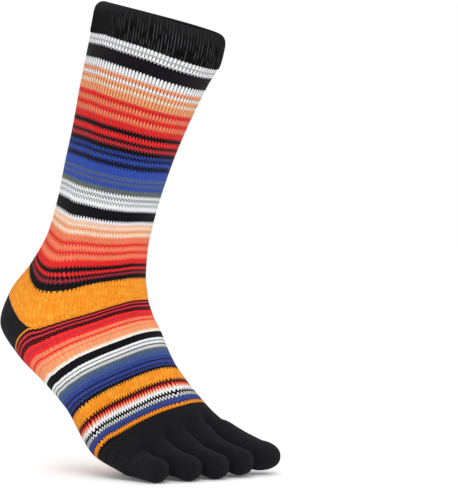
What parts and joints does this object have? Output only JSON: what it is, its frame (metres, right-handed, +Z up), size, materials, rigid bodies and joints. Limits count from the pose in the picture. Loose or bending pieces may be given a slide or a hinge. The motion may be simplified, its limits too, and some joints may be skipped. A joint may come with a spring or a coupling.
{
  "type": "toe sock",
  "caption": "Knitted crew sock with separate toe pockets, ribbed cuff, horizontal serape-style stripes, black heel and toes, shown as worn.",
  "frame": {"origin": "inside the heel pocket, where the wearer's heel bears on the cloth", "axes": "+X towards the toes, level; +Y towards the inner side of the right foot; +Z up, with the heel raised and the toes low as shown"},
  "size_m": [0.2184, 0.1082, 0.3494],
  "materials": {
    "black_ribbed_knit": "matt ribbed knit",
    "striped_knit": "matt stocking stitch in stripes",
    "black_knit": "matt stocking stitch"
  },
  "bodies": {
    "root": {"cuff": "black_ribbed_knit", "leg": "striped_knit", "heel_pocket": "black_knit", "foot": "striped_knit", "forefoot": "black_knit", "little_toe_pocket": "black_knit", "fourth_toe_pocket": "black_knit", "third_toe_pocket": "black_knit", "second_toe_pocket": "black_knit", "big_toe_pocket": "black_knit"}
  },
  "joints": []
}
